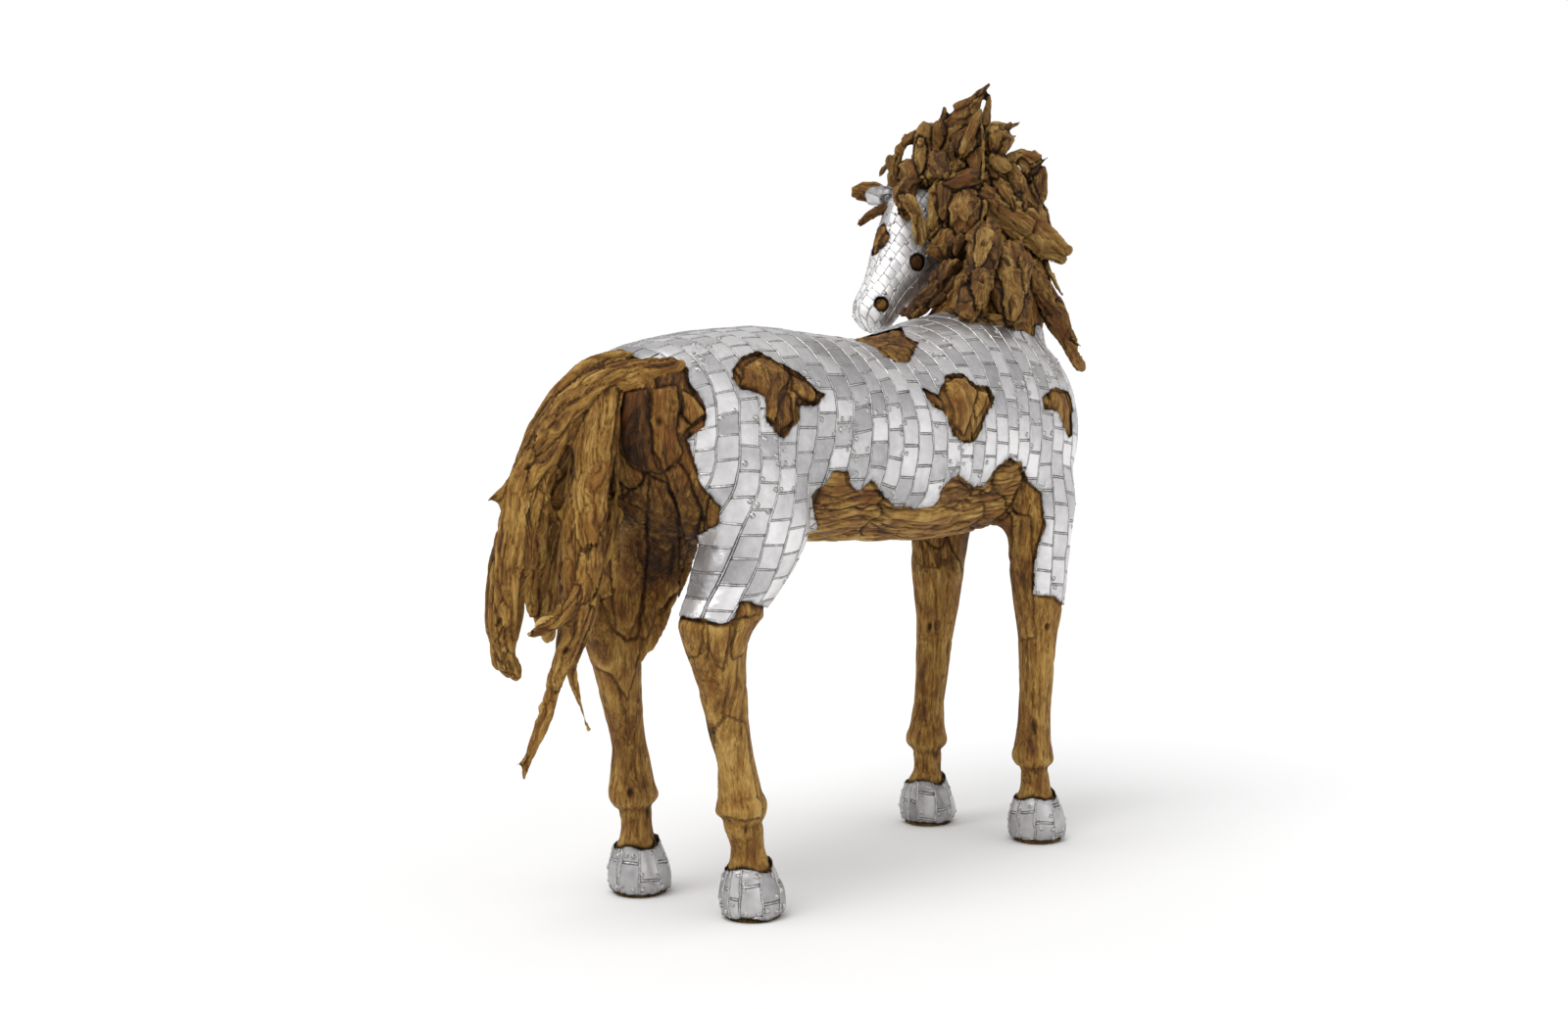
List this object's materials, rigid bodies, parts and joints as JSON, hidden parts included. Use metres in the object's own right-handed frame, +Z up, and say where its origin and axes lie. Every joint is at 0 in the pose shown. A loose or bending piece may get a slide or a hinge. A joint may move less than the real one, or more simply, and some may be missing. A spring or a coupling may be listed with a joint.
{
  "type": "horse sculpture",
  "caption": "Life-size standing horse sculpture of root wood, head turned back, partly clad in riveted sheet-metal plates.",
  "frame": {"origin": "middle of the bounding box on the floor, under the soles of the hooves", "axes": "+Z up, +X the way the body faces, +Y the horse's left side, towards which the head is turned"},
  "size_m": [2.1516, 0.732, 2.2383],
  "materials": {
    "root_wood": "oiled root wood, golden brown with dark blotches",
    "mane_wood": "weathered root wood, darker brown",
    "plate_metal": "bright hammered sheet with welded seams"
  },
  "bodies": {
    "root": {"body": "root_wood", "body_cladding": "plate_metal", "head_cladding": "plate_metal", "ear_patch": "plate_metal", "hoof_cladding_right_hind": "plate_metal", "hoof_cladding_left_hind": "plate_metal", "hoof_cladding_right_fore": "plate_metal", "hoof_cladding_left_fore": "plate_metal", "tail_arch": "root_wood", "tail_outer": "root_wood", "tail_middle": "root_wood", "tail_inner": "root_wood", "tail_far": "root_wood", "tail_long_root": "root_wood", "tail_fork": "root_wood", "tail_right_spike": "root_wood", "tail_upper_spike": "root_wood", "tail_side_spike": "root_wood", "mane_big_slab": "mane_wood", "mane_long_slab": "mane_wood", "mane_broad_slab": "mane_wood", "mane_throat_slab": "mane_wood", "mane_lower_right": "mane_wood", "mane_cheek_slab": "mane_wood", "mane_block": "mane_wood", "mane_crest": "mane_wood", "mane_top_spike": "mane_wood", "mane_second_spike": "mane_wood", "mane_third_spike": "mane_wood", "mane_right_knob": "mane_wood", "mane_right_horn": "mane_wood", "mane_right_curl": "mane_wood", "mane_right_tip": "mane_wood", "mane_right_strand": "mane_wood", "mane_far_strand": "mane_wood", "mane_thin_stick": "mane_wood", "mane_left_loop": "mane_wood", "mane_top_left": "mane_wood", "mane_poll_slab": "mane_wood", "mane_forelock": "mane_wood", "mane_peak": "mane_wood", "mane_crown": "mane_wood", "mane_left_drop": "mane_wood", "mane_right_drop": "mane_wood", "mane_right_upper": "mane_wood", "mane_base_right": "mane_wood", "mane_neck_front_high": "mane_wood", "mane_neck_front_low": "mane_wood", "mane_neck_left_high": "mane_wood", "mane_neck_left_low": "mane_wood", "mane_neck_left_mid": "mane_wood", "mane_poll_back": "mane_wood", "ear": "root_wood", "brow_root": "root_wood"}
  },
  "joints": []
}
